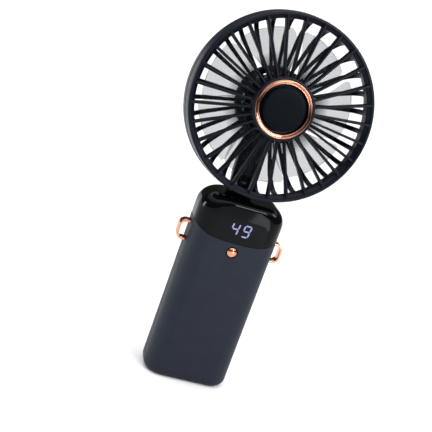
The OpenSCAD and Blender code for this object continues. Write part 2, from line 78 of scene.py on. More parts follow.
# ---------------------------------------------------------------- mesh helpers
def obj_from(name, verts, faces, matrix=None, smooth_deg=35, normals=None):
    me = bpy.data.meshes.new(name)
    pts = [Vector(v) for v in verts]
    if matrix is not None:
        pts = [matrix @ p for p in pts]
    me.from_pydata([tuple(p * MM) for p in pts], [], [tuple(f) for f in faces])
    me.validate(clean_customdata=False)
    o = bpy.data.objects.new(name, me)
    bpy.context.scene.collection.objects.link(o)
    finish_mesh(o, smooth_deg)
    return o


def finish_mesh(o, smooth_deg=35, recalc=True):
    me = o.data
    if recalc:
        bm = bmesh.new()
        bm.from_mesh(me)
        bmesh.ops.remove_doubles(bm, verts=bm.verts, dist=1e-7)
        bmesh.ops.recalc_face_normals(bm, faces=bm.faces)
        bm.to_mesh(me)
        bm.free()
    me.shade_smooth()
    if smooth_deg < 180:
        me.set_sharp_from_angle(angle=math.radians(smooth_deg))
    me.update()


def revolve(profile, n, close=True):
    """profile: (r, z) points, turned round Z. close joins the last point to the first."""
    verts, faces, m = [], [], len(profile)
    axis = [i for i, p in enumerate(profile) if abs(p[0]) < 1e-6]
    for k in range(n):
        a = 2 * pi * k / n
        for r, z in profile:
            verts.append((r * math.cos(a), r * math.sin(a), z))
    for k in range(n):
        a, b = k * m, ((k + 1) % n) * m
        for i in range(m if close else m - 1):
            j = (i + 1) % m
            quad = [a + i, b + i, b + j, a + j]
            if profile[i][0] < 1e-6 and profile[j][0] < 1e-6:
                continue
            if profile[i][0] < 1e-6:
                quad = [a + i, b + j, a + j]
            elif profile[j][0] < 1e-6:
                quad = [a + i, b + i, a + j]
            faces.append(quad)
    return verts, faces


def arc(cx, cy, r, a0, a1, n):
    return [(cx + r * math.cos(math.radians(a0 + (a1 - a0) * i / n)), cy + r * math.sin(math.radians(a0 + (a1 - a0) * i / n))) for i in range(n + 1)]


def fillet(points, radii, n=5):
    """rounds the corners of a closed polygon; radii is one number or one per point"""
    out, m = [], len(points)
    for i in range(m):
        r = radii if not isinstance(radii, (list, tuple)) else radii[i]
        p, a, b = Vector(points[i]), Vector(points[i - 1]), Vector(points[(i + 1) % m])
        if r <= 0:
            out.append(tuple(p))
            continue
        u, v = (a - p), (b - p)
        lu, lv = u.length, v.length
        u.normalize(); v.normalize()
        ang = math.acos(max(-1, min(1, u.dot(v))))
        if ang > pi - 0.02:
            out.append(tuple(p))
            continue
        t = min(r / math.tan(ang / 2), lu * 0.49, lv * 0.49)
        rr = t * math.tan(ang / 2)
        c = p + (u + v).normalized() * (rr / math.sin(ang / 2))
        s, e = p + u * t, p + v * t
        a0, a1 = math.atan2(s.y - c.y, s.x - c.x), math.atan2(e.y - c.y, e.x - c.x)
        d = a1 - a0
        while d > pi: d -= 2 * pi
        while d < -pi: d += 2 * pi
        for k in range(n + 1):
            q = a0 + d * k / n
            out.append((c.x + rr * math.cos(q), c.y + rr * math.sin(q)))
    return out


def loft(rings, caps=True, closed=False):
    """skins a list of equal rings of points"""
    verts, faces, w = [], [], len(rings[0])
    for r in rings:
        verts += [tuple(p) for p in r]
    n = len(rings)
    for i in range(n if closed else n - 1):
        a, b = i * w, ((i + 1) % n) * w
        for k in range(w):
            j = (k + 1) % w
            faces.append([a + k, a + j, b + j, b + k])
    if caps and not closed:
        faces.append(list(range(w))[::-1])
        faces.append([(n - 1) * w + k for k in range(w)])
    return verts, faces


def join_parts(parts):
    verts, faces = [], []
    for v, f in parts:
        o = len(verts)
        verts += list(v)
        faces += [[i + o for i in face] for face in f]
    return verts, faces


def moved(part, m):
    v, f = part
    return [tuple(m @ Vector(p)) for p in v], f


def extrude_poly(poly, z0, z1, bevel=0.0, n=3):
    """closed polygon in x, y pushed from z0 to z1, ends softened by bevel"""
    def inset(d):
        m = len(poly)
        out = []
        for i in range(m):
            p, a, b = Vector(poly[i]), Vector(poly[i - 1]), Vector(poly[(i + 1) % m])
            e0, e1 = (p - a), (b - p)
            if e0.length < 1e-9 or e1.length < 1e-9:
                out.append(p); continue
            n0, n1 = Vector((-e0.y, e0.x)).normalized(), Vector((-e1.y, e1.x)).normalized()
            q = n0 + n1
            if q.length < 1e-6:
                out.append(p); continue
            q.normalize()
            out.append(p + q * (d * sgn / max(0.4, q.dot(n0))))
        return out
    area = sum(poly[i - 1][0] * poly[i][1] - poly[i][0] * poly[i - 1][1] for i in range(len(poly)))
    sgn = 1 if area > 0 else -1
    rings = []
    if bevel > 0:
        for k in range(n + 1):
            q = pi / 2 * k / n
            d = bevel * (1 - math.sin(q))
            rings.append([(p.x, p.y, z0 + bevel * (1 - math.cos(q))) for p in inset(d)])
        for k in range(n, -1, -1):
            q = pi / 2 * k / n
            d = bevel * (1 - math.sin(q))
            rings.append([(p.x, p.y, z1 - bevel * (1 - math.cos(q))) for p in inset(d)])
    else:
        rings = [[(p[0], p[1], z0) for p in poly], [(p[0], p[1], z1) for p in poly]]
    return loft(rings)


def boolean(o, cutters, op="DIFFERENCE"):
    for c in cutters:
        m = o.modifiers.new("cut", "BOOLEAN")
        m.operation = op
        m.solver = "EXACT"
        m.object = c
    bpy.context.view_layer.update()
    dg = bpy.context.evaluated_depsgraph_get()
    me = bpy.data.meshes.new_from_object(o.evaluated_get(dg))
    o.modifiers.clear()
    old = o.data
    o.data = me
    bpy.data.meshes.remove(old)
    for c in cutters:
        bpy.data.objects.remove(c)
    return o


# ---------------------------------------------------------------- materials
def material(name):
    m = bpy.data.materials.new(name)
    m.use_nodes = True
    nt = m.node_tree
    return m, nt, nt.nodes["Principled BSDF"], nt.nodes, nt.links


def setp(b, **kw):
    names = {"base": "Base Color", "rough": "Roughness", "metal": "Metallic", "spec": "Specular IOR Level", "coat": "Coat Weight",
             "coat_rough": "Coat Roughness", "ior": "IOR", "alpha": "Alpha", "sheen": "Sheen Weight", "sheen_rough": "Sheen Roughness",
             "em": "Emission Color", "em_s": "Emission Strength", "aniso": "Anisotropic", "trans": "Transmission Weight"}
    for k, v in kw.items():
        s = b.inputs[names[k]]
        s.default_value = (*v, 1) if isinstance(v, (tuple, list)) and len(v) == 3 else v


def noise(nt, scale, detail=3, rough=0.55, coord=None, distortion=0.0):
    n = nt.nodes.new("ShaderNodeTexNoise")
    n.inputs["Scale"].default_value = scale
    n.inputs["Detail"].default_value = detail
    n.inputs["Roughness"].default_value = rough
    n.inputs["Distortion"].default_value = distortion
    if coord is not None:
        nt.links.new(coord, n.inputs["Vector"])
    return n


def ramp(nt, src, stops):
    r = nt.nodes.new("ShaderNodeValToRGB")
    e = r.color_ramp.elements
    e[0].position, e[0].color = stops[0][0], (*[stops[0][1]] * 3, 1) if not isinstance(stops[0][1], tuple) else (*stops[0][1], 1)
    e[1].position, e[1].color = stops[-1][0], (*[stops[-1][1]] * 3, 1) if not isinstance(stops[-1][1], tuple) else (*stops[-1][1], 1)
    for pos, c in stops[1:-1]:
        q = e.new(pos)
        q.color = (*[c] * 3, 1) if not isinstance(c, tuple) else (*c, 1)
    nt.links.new(src, r.inputs["Fac"])
    return r


def maprange(nt, src, a, b, c, d):
    r = nt.nodes.new("ShaderNodeMapRange")
    for k, v in zip(("From Min", "From Max", "To Min", "To Max"), (a, b, c, d)):
        r.inputs[k].default_value = v
    nt.links.new(src, r.inputs["Value"])
    return r


def mixcol(nt, fac, a, b, mode="MIX"):
    m = nt.nodes.new("ShaderNodeMix")
    m.data_type = "RGBA"
    m.blend_type = mode
    for val, sock in ((fac, m.inputs[0]), (a, m.inputs[6]), (b, m.inputs[7])):
        if hasattr(val, "is_output"):
            nt.links.new(val, sock)
        elif isinstance(val, (tuple, list)):
            sock.default_value = (*val, 1)
        else:
            sock.default_value = val
    return m.outputs[2]


def moulded(name, col, rough=0.5, spread=0.07, grain=5200, bump=0.1, wear=0.25, wear_col=None, spec=0.5, coat=0.0, coat_rough=0.1, sheen=0.0, dust=0.0):
    """moulded plastic: fine spark texture, cloudy gloss, slightly paler worn edges and a little dust"""
    m, nt, b, N, L = material(name)
    tc = N.new("ShaderNodeTexCoord").outputs["Object"]
    cloud = noise(nt, 95, 4, 0.6, tc)
    fine = noise(nt, grain, 2, 0.5, tc)
    mid = noise(nt, 900, 5, 0.65, tc)
    wc = wear_col or tuple(min(1, c * 2.2 + 0.012) for c in col)
    c1 = mixcol(nt, maprange(nt, cloud.outputs["Fac"], 0.3, 0.7, 0, 1).outputs[0], tuple(c * 0.88 for c in col), tuple(c * 1.12 for c in col))
    geo = N.new("ShaderNodeNewGeometry")
    edge = ramp(nt, geo.outputs["Pointiness"], [(0.515, 0.0), (0.56, 1.0)])
    em = N.new("ShaderNodeMath"); em.operation = "MULTIPLY"
    L.new(edge.outputs["Color"], em.inputs[0])
    L.new(maprange(nt, mid.outputs["Fac"], 0.35, 0.65, 0.15 * wear, wear).outputs[0], em.inputs[1])
    c2 = mixcol(nt, em.outputs[0], c1, wc)
    if dust > 0:
        specks = ramp(nt, noise(nt, 2600, 1, 0.4, tc).outputs["Fac"], [(0.70, 0.0), (0.76, dust)])
        c2 = mixcol(nt, specks.outputs["Color"], c2, (0.32, 0.32, 0.33))
    L.new(c2, b.inputs["Base Color"])
    r = maprange(nt, mid.outputs["Fac"], 0.3, 0.7, rough - spread, rough + spread)
    L.new(r.outputs[0], b.inputs["Roughness"])
    bp = N.new("ShaderNodeBump")
    bp.inputs["Strength"].default_value = bump
    bp.inputs["Distance"].default_value = 0.00003
    L.new(fine.outputs["Fac"], bp.inputs["Height"])
    L.new(bp.outputs[0], b.inputs["Normal"])
    setp(b, spec=spec, coat=coat, coat_rough=coat_rough, sheen=sheen)
    return m


def metal(name, col, rough=0.2, spread=0.06, bump=0.06, scale=(1, 1, 1), grain=900, dark=None, aniso=0.0):
    m, nt, b, N, L = material(name)
    tc = N.new("ShaderNodeTexCoord").outputs["Object"]
    mp = N.new("ShaderNodeMapping")
    mp.inputs["Scale"].default_value = scale
    L.new(tc, mp.inputs["Vector"])
    g = noise(nt, grain, 4, 0.6, mp.outputs[0])
    cl = noise(nt, 160, 4, 0.6, tc)
    c = mixcol(nt, maprange(nt, cl.outputs["Fac"], 0.35, 0.65, 0, 1).outputs[0], dark or tuple(x * 0.86 for x in col), col)
    L.new(c, b.inputs["Base Color"])
    L.new(maprange(nt, g.outputs["Fac"], 0.3, 0.7, max(0.03, rough - spread), rough + spread).outputs[0], b.inputs["Roughness"])
    bp = N.new("ShaderNodeBump")
    bp.inputs["Strength"].default_value = bump
    bp.inputs["Distance"].default_value = 0.00002
    L.new(g.outputs["Fac"], bp.inputs["Height"])
    L.new(bp.outputs[0], b.inputs["Normal"])
    setp(b, metal=1.0, aniso=aniso)
    return m


M = {}
M["body_plastic"] = moulded("softtouch_navy", (0.0092, 0.0122, 0.0215), rough=0.50, spread=0.06, grain=6500, bump=0.16, wear=0.14, spec=0.17, dust=0.04)
M["gloss_black"] = moulded("gloss_black", (0.0012, 0.0016, 0.0022), rough=0.06, spread=0.02, grain=700, bump=0.012, wear=0.03, spec=0.10, dust=0.01)
M["copper_trim"] = metal("rose_gold", (0.66, 0.30, 0.185), rough=0.085, spread=0.03, bump=0.025, grain=420, dark=(0.58, 0.245, 0.145))
# hub ring metal: a darker copy of the rose-gold trim, painted shade so the ring reads dimmer than the loops and button
M["copper_ring"] = metal("rose_gold_ring_painted_shade", (0.50, 0.245, 0.165), rough=0.07, spread=0.02, bump=0.015, grain=300, dark=(0.42, 0.19, 0.12))
M["white_plastic"] = moulded("white_plastic", (0.72, 0.71, 0.68), rough=0.45)
M["steel"] = metal("steel", (0.58, 0.58, 0.60), rough=0.26)
M["dark_plastic"] = moulded("dark_plastic", (0.016, 0.016, 0.018), rough=0.5)
M["nickel"] = metal("nickel", (0.62, 0.60, 0.54), rough=0.3)
M["wire_red"] = moulded("wire_red", (0.45, 0.015, 0.012), rough=0.4)
M["wire_black"] = moulded("wire_black", (0.012, 0.012, 0.012), rough=0.4)
M["screw_steel"] = metal("black_screws", (0.09, 0.09, 0.10), rough=0.32)
M["zinc"] = metal("cast_zinc", (0.42, 0.42, 0.43), rough=0.42, bump=0.3, grain=1800)
M["brass"] = metal("brass", (0.70, 0.50, 0.20), rough=0.28)
M["neck_plastic"] = moulded("neck_gloss", (0.0024, 0.0033, 0.0045), rough=0.26, spread=0.07, grain=4200, bump=0.08, wear=0.10, spec=0.12, dust=0.04)
M["grille_dark"] = moulded("rear_grille_black", (0.0026, 0.0038, 0.0050), rough=0.36, spread=0.08, grain=4200, bump=0.12, wear=0.10, spec=0.13, dust=0.03)
M["grille_navy"] = moulded("front_grille_navy", (0.0030, 0.0044, 0.0088), rough=0.34, spread=0.08, grain=4600, bump=0.12, wear=0.12, spec=0.10, dust=0.03)
M["cap_navy"] = moulded("hub_cap_navy", (0.0013, 0.0027, 0.0050), rough=0.34, spread=0.06, grain=6000, bump=0.14, wear=0.10, spec=0.035, dust=0.02)
M["lamination"] = metal("lamination", (0.28, 0.28, 0.30), rough=0.45, scale=(1, 20, 1))
M["winding_copper"] = metal("enamelled_wire", (0.60, 0.24, 0.09), rough=0.3, scale=(1, 1, 6), grain=2600, bump=0.6)
M["magnet"] = metal("magnet", (0.07, 0.07, 0.075), rough=0.5)
M["cell_wrap"] = moulded("cell_wrap", (0.03, 0.14, 0.36), rough=0.3)
M["circuit_board"] = moulded("solder_mask", (0.012, 0.105, 0.045), rough=0.32, grain=1500, bump=0.3)

# smoke tinted blades
m, nt, b, N, L = material("smoke_blade")
tc = N.new("ShaderNodeTexCoord").outputs["Object"]
cl = noise(nt, 130, 3, 0.5, tc)
L.new(mixcol(nt, maprange(nt, cl.outputs["Fac"], 0.3, 0.7, 0, 1).outputs[0], (0.015, 0.018, 0.022), (0.022, 0.026, 0.031)), b.inputs["Base Color"])
L.new(maprange(nt, noise(nt, 1400, 3, 0.5, tc).outputs["Fac"], 0.3, 0.7, 0.16, 0.30).outputs[0], b.inputs["Roughness"])
reach = N.new("ShaderNodeAttribute")
reach.attribute_name = "reach"
L.new(maprange(nt, reach.outputs["Fac"], 16.5, 28.0, 0.84, 0.275).outputs[0], b.inputs["Alpha"])
setp(b, spec=0.08)
M["smoke_plastic"] = m

# lit bars of the display
m, nt, b, N, L = material("lit_digits")
tc = N.new("ShaderNodeTexCoord").outputs["Object"]
cl = noise(nt, 1500, 2, 0.5, tc)
L.new(mixcol(nt, maprange(nt, cl.outputs["Fac"], 0.3, 0.7, 0, 1).outputs[0], (0.40, 0.48, 0.98), (0.55, 0.63, 1.0)), b.inputs["Emission Color"])
setp(b, base=(0.1, 0.12, 0.2), rough=0.3, spec=0.2, em_s=0.44)
M["lit_digits"] = m

slots = {s["node"]: s["material_slot"] for s in frame["record"]["subparts"]}
for n, o in frame["nodes"].items():
    o.data.materials.clear()
    o.data.materials.append(M[slots[n]])


def place(o, body, nodes, mats=None):
    """gives a finished piece its material, its body and the CAD nodes that it stands for"""
    for n in mats or [slots[nodes[0]]]:
        o.data.materials.append(M[n])
    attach(o, body)
    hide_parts(*nodes)
    return o


# ---------------------------------------------------------------- handle shells
def seam_at(x):
    return SEAM_Z + SEAM_RISE * abs(x / HW) ** 3


CX, CY = HW - CORNER, HD - CORNER


def column(sx, sy, a):
    return (sx * CX, sy * CY, math.cos(a), math.sin(a))


def flat_cols(c0, c1, n):
    return [tuple(c0[k] + (c1[k] - c0[k]) * i / n for k in range(4)) for i in range(1, n)]


def corner_cols(sx, sy, a0, a1, n=12):
    return [column(sx, sy, math.radians(a0 + (a1 - a0) * i / n)) for i in range(n + 1)]


def full_columns():
    cs = []
    order = [(1, -1, -90, 0), (1, 1, 0, 90), (-1, 1, 90, 180), (-1, -1, 180, 270)]
    for i, (sx, sy, a0, a1) in enumerate(order):
        cs += corner_cols(sx, sy, a0, a1)
        nx = order[(i + 1) % 4]
        cs += flat_cols(cs[-1], column(nx[0], nx[1], math.radians(nx[2])), 4 if i in (0, 2) else 12)
    return cs


def half_columns(s):
    """s=-1 front half, s=1 back half, from the right hand parting line round to the left hand one"""
    y0 = s * 0.08
    right = (CX, y0, 1.0, 0.0)
    left = (-CX, y0, -1.0, 0.0)
    if s < 0:
        a = corner_cols(1, -1, 0, -90)
        b = corner_cols(-1, -1, 270, 180)
    else:
        a = corner_cols(1, 1, 0, 90)
        b = corner_cols(-1, 1, 90, 180)
    return [right] + flat_cols(right, a[0], 3) + a + flat_cols(a[-1], b[0], 16) + b + flat_cols(b[-1], left, 3) + [left]


def p_bottom(c, beta, t=0.0):
    cb, sb = math.cos(beta), math.sin(beta)
    r = (CORNER - BASE_R) + (BASE_R - t) * cb
    return (c[0] + r * c[2], c[1] + r * c[3], BASE_R + (BASE_R - t) * sb)


def p_wall(c, z, t=0.0):
    return (c[0] + (CORNER - t) * c[2], c[1] + (CORNER - t) * c[3], z)


def p_top(c, beta, t=0.0):
    cb, sb = math.cos(beta), math.sin(beta)
    sx = max(-1.0, min(1.0, c[0] / CX))
    nx, ny, nz = cb * c[2], cb * c[3], sb
    h = math.hypot(nx, nz)
    # on the front and back faces the shoulder arc has no sideways part
    ux, uz = (nx / h, nz / h) if h > 1e-9 else (0.0, 1.0)
    x = sx * (CX - RS) + RS * ux + (CORNER - EDGE) * c[2] + (EDGE - t) * nx
    y = c[1] + (CORNER - EDGE) * c[3] + (EDGE - t) * ny
    z = BODY_H - EDGE - RS + RS * uz + (EDGE - t) * nz
    return (x, y, z)


def shell_half(name, s):
    cols = half_columns(s)
    nc = len(cols)

    def rows(t):
        out = [[p_bottom(c, -pi / 2 + pi / 2 * i / 8, t) for c in cols] for i in range(9)]
        zs = [8, 16, 30, 46, 62, 74]
        out += [[p_wall(c, z, t) for c in cols] for z in zs]
        for k in range(1, 5):
            row = []
            for c in cols:
                x = c[0] + CORNER * c[2]
                top = (seam_at(x) if s < 0 else seam_at(HW)) - 0.09
                row.append(p_wall(c, 74 + (top - 74) * k / 4, t))
            out.append(row)
        return out
    O, I = rows(0.0), rows(WALL)
    nr = len(O)
    verts = [p for r in O for p in r] + [p for r in I for p in r]
    off = nr * nc
    faces = []
    for i in range(nr - 1):
        for j in range(nc - 1):
            a, b, c, d = i * nc + j, i * nc + j + 1, (i + 1) * nc + j + 1, (i + 1) * nc + j
            faces.append([a, b, c, d])
            faces.append([d + off, c + off, b + off, a + off])
        for j in (0, nc - 1):
            a, d = i * nc + j, (i + 1) * nc + j
            faces.append([a, d, d + off, a + off])
    t0 = (nr - 1) * nc
    for j in range(nc - 1):
        faces.append([t0 + j, t0 + j + 1, t0 + j + 1 + off, t0 + j + off])
    faces.append(list(range(nc)))
    faces.append([j + off for j in range(nc)])
    faces.append([0, nc - 1, nc - 1 + off, off])
    return obj_from(name, verts, faces, smooth_deg=180)


def cutter(name, part):
    return obj_from(name, part[0], part[1], smooth_deg=180)


def along_y(part, x, y, z):
    """a part turned round Z is laid so that its +Z points to -Y (out of the front), at x, y, z"""
    return moved(part, Matrix.Translation((x, y, z)) @ Matrix.Rotation(pi / 2, 4, "X"))


def bevelled(o, width, seg=2, angle=50):
    m = o.modifiers.new("soft edges", "BEVEL")
    m.width = width * MM
    m.segments = seg
    m.limit_method = "ANGLE"
    m.angle_limit = math.radians(angle)
    m.use_clamp_overlap = True
    m.harden_normals = False
    return o


def apply_mods(o):
    bpy.context.view_layer.update()
    dg = bpy.context.evaluated_depsgraph_get()
    me = bpy.data.meshes.new_from_object(o.evaluated_get(dg))
    o.modifiers.clear()
    old = o.data
    o.data = me
    bpy.data.meshes.remove(old)
    return o


def normals_from(o, guide, limit=0.80):
    """takes the smooth normals of a clean guide surface wherever the piece still lies on it"""
    g = guide.data
    g.calc_loop_triangles()
    tree = BVHTree.FromPolygons([v.co for v in g.vertices], [tuple(t.vertices) for t in g.loop_triangles])
    tris = [tuple(t.vertices) for t in g.loop_triangles]
    vn = [v.normal.copy() for v in g.vertices]
    me = o.data
    out = [Vector((0, 0, 0))] * len(me.loops)
    for p in me.polygons:
        for li in p.loop_indices:
            v = me.vertices[me.loops[li].vertex_index].co
            loc, _, idx, dist = tree.find_nearest(v)
            n = None
            if dist < 0.03 * MM:
                ids = tris[idx]
                pa, pb, pc = (g.vertices[i].co for i in ids)
                n0 = (pb - pa).cross(pc - pa)
                ar = n0.length_squared
                if ar > 0:
                    wa = (pb - loc).cross(pc - loc).dot(n0) / ar
                    wb = (pc - loc).cross(pa - loc).dot(n0) / ar
                    n = (vn[ids[0]] * wa + vn[ids[1]] * wb + vn[ids[2]] * (1 - wa - wb)).normalized()
                    if n.dot(p.normal) < limit:
                        n = None
            out[li] = n if n is not None else me.corner_normals[li].vector.copy()
    me.normals_split_custom_set(out)
    bpy.data.objects.remove(guide)
    return o


# front shell with the dish and hole for the button
front = shell_half("front_case", -1)
dish = revolve([(0, -6), (BUTTON_R + 0.15, -6), (BUTTON_R + 0.15, -0.6)] + [(BUTTON_R + 0.15 + 0.55 * math.sin(q * pi / 12), -0.6 + 0.62 * (1 - math.cos(q * pi / 12))) for q in range(1, 7)] + [(BUTTON_R + 0.75, 2), (0, 2)], 64)
usb = extrude_poly(fillet([(-4.8, -1.95), (4.8, -1.95), (4.8, 1.95), (-4.8, 1.95)], 1.9, 8), -1, 5)
boolean(front, [cutter("c1", along_y(dish, 0, -HD, BUTTON_Z)), cutter("c2", usb)])
finish_mesh(front, 38)
bevelled(front, 0.16, 2)
place(front, "handle", ["front_shell"])

# back shell with counterbored screw holes
rear = shell_half("rear_case", 1)
posts = [(-17.6, 79.5), (17.6, 79.5), (-17.6, 5.6), (17.6, 5.6)]
cuts = [cutter("c%d" % i, along_y(revolve([(0, -6), (2.05, -6), (2.05, 3.4), (0, 3.4)], 40), x, HD, z)) for i, (x, z) in enumerate(posts)]
usb = extrude_poly(fillet([(-4.8, -1.95), (4.8, -1.95), (4.8, 1.95), (-4.8, 1.95)], 1.9, 8), -1, 5)
boolean(rear, cuts + [cutter("c9", usb)])
finish_mesh(rear, 38)
bevelled(rear, 0.16, 2)
place(rear, "handle", ["rear_shell"])


# gloss cap: closed all round, level behind and with the shallow U in front
def cap_rows(cols, t):
    out = []
    for k in range(0, 5):
        row = []
        for c in cols:
            x, y = c[0] + CORNER * c[2], c[1] + CORNER * c[3]
            base = (seam_at(x) if y < 0 else seam_at(HW)) + 0.09
            row.append(p_wall(c, base + (BODY_H - SHOULDER - base) * k / 4, t))
        out.append(row)
    out += [[p_top(c, pi / 2 * k / 12, t) for c in cols] for k in range(1, 13)]
    return out


def cap_mesh(name, thick=True):
    cols = full_columns()
    nc = len(cols)
    O = cap_rows(cols, 0.0)
    nr = len(O)
    verts = [p for r in O for p in r]
    faces = []
    for i in range(nr - 1):
        for j in range(nc):
            k = (j + 1) % nc
            faces.append([i * nc + j, i * nc + k, (i + 1) * nc + k, (i + 1) * nc + j])
    faces.append([(nr - 1) * nc + j for j in range(nc)])
    if thick:
        off = len(verts)
        verts += [p for r in cap_rows(cols, WALL) for p in r]
        for i in range(nr - 1):
            for j in range(nc):
                k = (j + 1) % nc
                faces.append([off + (i + 1) * nc + j, off + (i + 1) * nc + k, off + i * nc + k, off + i * nc + j])
        faces.append([off + (nr - 1) * nc + j for j in range(nc)][::-1])
        for j in range(nc):
            k = (j + 1) % nc
            faces.append([j, off + j, off + k, k])
    return obj_from(name, verts, faces, smooth_deg=180)


cap = cap_mesh("display_cap")
slot_w = NECK_W / 2 + 0.7
slot_poly = [(-slot_w, 2.0), (slot_w, 2.0), (slot_w, 22), (-slot_w, 22)]
boolean(cap, [cutter("c1", extrude_poly(fillet(slot_poly, [0.8, 0.8, 0, 0], 4), 92.6, 125))])
finish_mesh(cap, 38)
bevelled(cap, 0.22, 3)
apply_mods(cap)
cap.data.shade_smooth()
cap.data.set_sharp_from_angle(angle=math.radians(38))
normals_from(cap, cap_mesh("guide", thick=False))
place(cap, "handle", ["top_cap"])


# lit figures: bars with pointed ends, leaning like the printed window mask
def bar(x0, z0, x1, z1, w):
    d = Vector((x1 - x0, z1 - z0))
    l = d.length
    d.normalize()
    n = Vector((-d.y, d.x))
    a = Vector((x0, z0))
    pts = [a, a + d * w * 0.5 + n * w * 0.5, a + d * (l - w * 0.5) + n * w * 0.5, a + d * l, a + d * (l - w * 0.5) - n * w * 0.5, a + d * w * 0.5 - n * w * 0.5]
    return pts


def figure(cx, on):
    w, h, s, g = 4.2, 7.0, 0.78, 0.16
    x0, x1, zt, zm, zb = -w / 2 + s / 2, w / 2 - s / 2, h / 2 - s / 2, 0.0, -h / 2 + s / 2
    segs = [(x0 + g, zt, x1 - g, zt), (x1, zm + g, x1, zt - g), (x1, zb + g, x1, zm - g), (x0 + g, zb, x1 - g, zb),
            (x0, zb + g, x0, zm - g), (x0, zm + g, x0, zt - g), (x0 + g, zm, x1 - g, zm)]
    parts = []
    for flag, sg in zip(on, segs):
        if not flag:
            continue
        ring = [(cx + p.x + 0.12 * p.y, -HD - 0.03, DISPLAY_Z + p.y) for p in bar(*sg, s)]
        back = [(x, -HD + 0.33, z) for x, y, z in ring]
        parts.append(loft([ring, back]))
    return parts


digits = obj_from("display_figures", *join_parts(figure(-2.75, [0, 1, 1, 0, 0, 1, 1]) + figure(3.55, [1, 1, 1, 1, 0, 1, 1])), smooth_deg=20)
place(digits, "handle", ["display_digits"])

# power button: shallow dome with a soft shoulder and a stem
prof = [(0, -3.0), (BUTTON_R - 0.7, -3.0), (BUTTON_R - 0.7, -1.9), (BUTTON_R, -1.9), (BUTTON_R, -0.25)] + \
       [(BUTTON_R - 0.45 + 0.45 * math.cos(q * pi / 12), -0.25 + 0.45 * math.sin(q * pi / 12)) for q in range(1, 5)] + \
       [(2.15 * math.cos(q * pi / 20), 0.16 + 0.62 * math.sin(q * pi / 20)) for q in range(3, 10)] + [(0, 0.79)]
btn = obj_from("button_cap", *along_y(revolve(prof, 72, close=False), 0, -HD, BUTTON_Z), smooth_deg=40)
place(btn, "button", ["power_button"])


# lanyard loops: a flat band bent into a D, its legs going into the side
def loop_piece(name, s, node):
    half, h, out, t, r = 2.7, 5.7, 6.2, 1.3, 4.0
    hm, om, rm = h - t / 2, out - t / 2, r - t / 2
    path = [(-2.0, -hm), (-0.8, -hm), (0.2, -hm), (1.6, -hm), (om - rm, -hm)]
    path += [(om - rm + rm * math.sin(q * pi / 16), -hm + rm - rm * math.cos(q * pi / 16)) for q in range(1, 9)]
    path += [(om, -0.9), (om, 0.9)]
    path += [(om - rm + rm * math.cos(q * pi / 16), hm - rm + rm * math.sin(q * pi / 16)) for q in range(0, 9)]
    path += [(1.6, hm), (0.2, hm), (-0.8, hm), (-2.0, hm)]
    rings = []
    sec = fillet([(-t / 2, -half), (t / 2, -half), (t / 2, half), (-t / 2, half)], 0.34, 4)
    for i, p in enumerate(path):
        a, b = Vector(path[max(0, i - 1)]), Vector(path[min(len(path) - 1, i + 1)])
        d = (b - a).normalized()
        n = Vector((d.y, -d.x))
        rings.append([(s * (HW - 0.35 + p[0] + n.x * u), v, LOOP_Z + p[1] + n.y * u) for u, v in sec])
    o = obj_from(name, *loft(rings), smooth_deg=50)
    return place(o, "handle", [node])


loop_piece("lanyard_band_left", -1, "lanyard_loop_left")
loop_piece("lanyard_band_right", 1, "lanyard_loop_right")


# ---------------------------------------------------------------- head
def teeth(r_of_z, n, count, depth, lean, z0, z1, rows=10, width=0.5):
    """ring band whose outside is cut with fine leaning teeth; returns outer grid rows of points"""
    out = []
    for i in range(rows + 1):
        z = z0 + (z1 - z0) * i / rows
        fade = min(1.0, min(i, rows - i) / 1.5)
        row = []
        for k in range(n):
            a = 2 * pi * k / n
            ph = (a * count / (2 * pi) + lean * (z - z0)) % 1.0
            q = 1 - abs(2 * ph - 1)
            row.append(((r_of_z(z) - depth * fade * (1 - min(1, q * 1.6))) * math.cos(a), (r_of_z(z) - depth * fade * (1 - min(1, q * 1.6))) * math.sin(a), z))
        out.append(row)
    return out


def ring_rows(r, z, n):
    return [(r * math.cos(2 * pi * k / n), r * math.sin(2 * pi * k / n), z) for k in range(n)]


def rib_part(stations, n_round=3):
    """stations: (r, half width, z back, z front); a bar along +X with a rounded front edge"""
    rings = []
    for r, h, zb, zf in stations:
        e = min(h * 0.95, 0.5)
        pts = [(r, -h, zb + 0.25), (r, -h * 0.6, zb), (r, h * 0.6, zb), (r, h, zb + 0.25), (r, h * 0.92, zf - e)]
        for q in range(1, 6):
            a = math.radians(q * 30)
            pts.append((r, h * 0.92 * math.cos(a), zf - e + e * math.sin(a)))
        pts.append((r, -h * 0.92, zf - e))
        rings.append(pts)
    return loft(rings)


# rim outline from the inner lip over the front face, down the side and back up the inner wall
rim_prof = fillet([(44.5, -2.8), (44.6, -2.3), (46.25, -0.95), (46.45, -0.35), (46.85, 0.0), (RIM_R - 0.45, 0.0), (RIM_R + 0.05, -0.6), (RIM_R + 0.5, -7.45), (RIM_R - 1.7, -7.45), (RIM_R - 1.9, -4.4), (45.0, -3.6)],
                  [0.2, 0.2, 0.15, 0.25, 0.35, 0.4, 0.5, 0.25, 0.2, 0.5, 0.3], 4)
parts = [revolve(rim_prof, 192)]
for i in range(FRONT_RIBS):
    st = []
    for k in range(9):
        r = 15.7 + (46.6 - 15.7) * k / 8
        u = k / 8
        zf = 0.85 - 1.15 * u
        zb = -3.0 - 1.6 * u ** 0.8
        st.append((r, 0.52 + 0.26 * u, zb, zf))
    parts.append(moved(rib_part(st), Matrix.Rotation(math.radians(93.0 + i * 360 / FRONT_RIBS), 4, "Z")))
